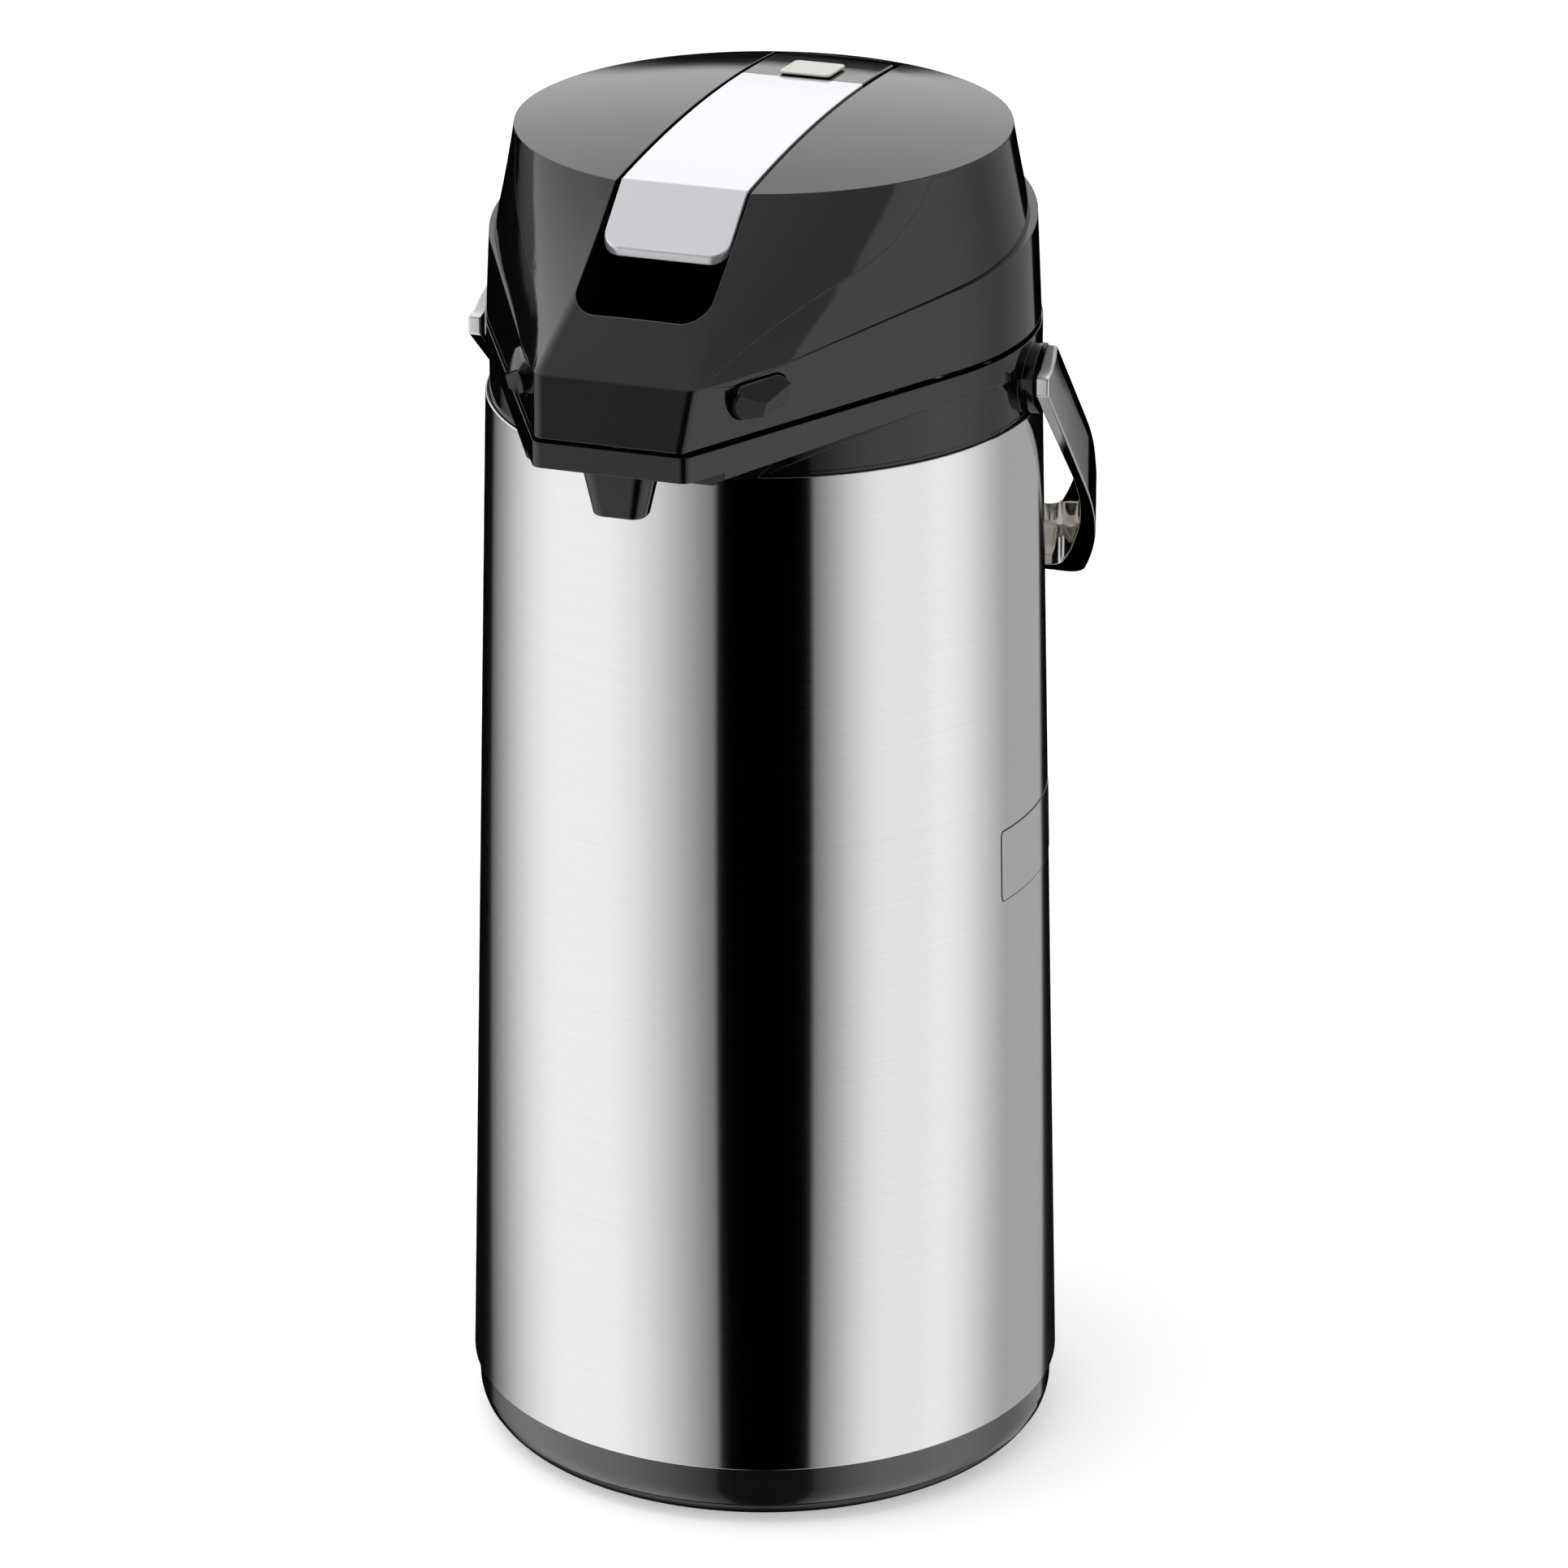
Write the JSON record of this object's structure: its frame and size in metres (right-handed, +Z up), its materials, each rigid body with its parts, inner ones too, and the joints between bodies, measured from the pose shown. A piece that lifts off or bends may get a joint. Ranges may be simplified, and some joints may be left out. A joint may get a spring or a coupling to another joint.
{
  "type": "pump dispenser vacuum flask",
  "caption": "Tall steel-sleeved vacuum flask with hinged black lid, silver press lever that pumps, spout beak with nozzle, release buttons, bail handle and swivel foot.",
  "frame": {"origin": "centre of the foot where it meets the table", "axes": "+Z up along the body, -Y towards the spout, +X to the right seen from behind the spout looking at +Y"},
  "size_m": [0.1596, 0.2001, 0.369],
  "materials": {
    "brushed_steel_sleeve": "fine horizontal brushing",
    "flask_steel": "drawn stainless steel",
    "gloss_black_plastic": "glossy injection-moulded black",
    "grey_base_plastic": "satin dark grey",
    "black_foot_plastic": "satin black",
    "black_rubber": "moulded rubber",
    "clear_seal_rubber": "translucent silicone",
    "satin_silver_lacquer": "satin silver lacquer on plastic",
    "ivory_plastic": "glossy ivory",
    "polished_chrome": "polished chrome",
    "pin_steel": "ground steel",
    "tube_plastic": "translucent natural plastic",
    "slip_plastic": "natural slide plastic"
  },
  "bodies": {
    "turntable": {"foot": "black_foot_plastic", "foot_pad": "black_rubber", "slip_ring": "slip_plastic", "swivel_washer": "pin_steel", "swivel_screw": "pin_steel"},
    "pot": {"base_ring": "grey_base_plastic", "jacket": "brushed_steel_sleeve", "flask_inner": "flask_steel", "flask_outer": "flask_steel", "flask_cushion": "black_rubber", "neck_gasket": "clear_seal_rubber", "collar": "gloss_black_plastic", "hinge_pin": "pin_steel", "bail_pin_left": "pin_steel", "bail_pin_right": "pin_steel", "riser_tube": "tube_plastic", "tube_elbow": "gloss_black_plastic", "spout_pipe": "tube_plastic", "nozzle": "gloss_black_plastic"},
    "lid": {"lid_band": "gloss_black_plastic", "lid_side": "gloss_black_plastic", "lid_top": "gloss_black_plastic", "lid_plate": "gloss_black_plastic", "lid_seal": "clear_seal_rubber", "lid_screws": "pin_steel", "bellows": "black_rubber", "bellows_spring": "pin_steel", "lever_pin": "pin_steel"},
    "lever": {"lever": "satin_silver_lacquer", "lever_frame": "gloss_black_plastic"},
    "lock": {"lock_slide": "ivory_plastic"},
    "pump": {"pusher": "slip_plastic"},
    "release_left": {"button_left": "gloss_black_plastic", "latch_left": "gloss_black_plastic"},
    "release_right": {"button_right": "gloss_black_plastic", "latch_right": "gloss_black_plastic"},
    "bail": {"handle": "polished_chrome", "handle_grip": "polished_chrome"}
  },
  "joints": [
    {"name": "pot_swivel", "type": "hinge", "parent": "turntable", "child": "pot", "pos_m": [0, 0, 0], "axis": [0, 0, 1], "continuous": true},
    {"name": "lid_hinge", "type": "hinge", "parent": "pot", "child": "lid", "pos_m": [0, 0.0773, 0.3145], "axis": [-1, 0, 0], "range_deg": [0, 85]},
    {"name": "lever_press", "type": "hinge", "parent": "lid", "child": "lever", "pos_m": [0, 0.052, 0.3535], "axis": [1, 0, 0], "range_deg": [0, 9], "stiffness_Nm_per_rad": 3, "springref_deg": -2.86},
    {"name": "pump_stroke", "type": "slide", "parent": "lid", "child": "pump", "axis": [0, 0, -1], "range_m": [0, 0.0085], "deforming": ["bellows", "bellows_spring"]},
    {"name": "lock_travel", "type": "slide", "parent": "lever", "child": "lock", "axis": [0, 0.9977, -0.068], "range_m": [0, 0.004]},
    {"name": "button_left_press", "type": "slide", "parent": "lid", "child": "release_left", "axis": [0.8813, 0.4726, 0], "range_m": [0, 0.0025], "stiffness_N_per_m": 400},
    {"name": "button_right_press", "type": "slide", "parent": "lid", "child": "release_right", "axis": [-0.8813, 0.4726, 0], "range_m": [0, 0.0025], "stiffness_N_per_m": 400},
    {"name": "handle_swing", "type": "hinge", "parent": "pot", "child": "bail", "pos_m": [0, 0.002, 0.3029], "axis": [1, 0, 0], "range_deg": [0, 190]}
  ],
  "couplings": [
    {"joint": "pump_stroke", "follows": "lever_press", "m_per_rad": 0.052}
  ]
}
